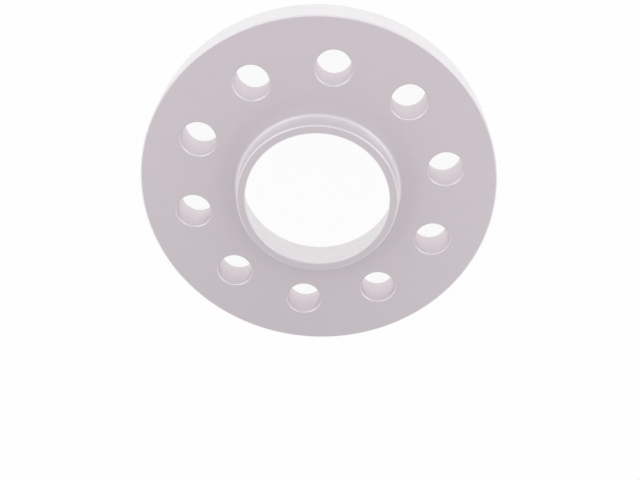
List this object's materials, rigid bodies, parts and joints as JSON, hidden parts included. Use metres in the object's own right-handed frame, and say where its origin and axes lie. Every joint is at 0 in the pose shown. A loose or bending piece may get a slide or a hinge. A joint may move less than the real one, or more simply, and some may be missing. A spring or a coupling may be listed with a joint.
{
  "type": "wheel spacer",
  "caption": "Round flat aluminium wheel spacer with a seat for the hub's collar, a raised lip that centres the wheel, and a ring of chamfered through holes for the wheel bolts.",
  "frame": {"origin": "centre of the hub face, on the surface that the spacer lies on", "axes": "+Z along the turning axis from the hub face to the wheel's lip, -Y through the first bolt hole"},
  "size_m": [0.166, 0.166, 0.0285],
  "materials": {
    "anodised_aluminium": "fine satin, bead blasted and clear anodised"
  },
  "bodies": {
    "root": {"spacer": "anodised_aluminium"}
  },
  "joints": []
}
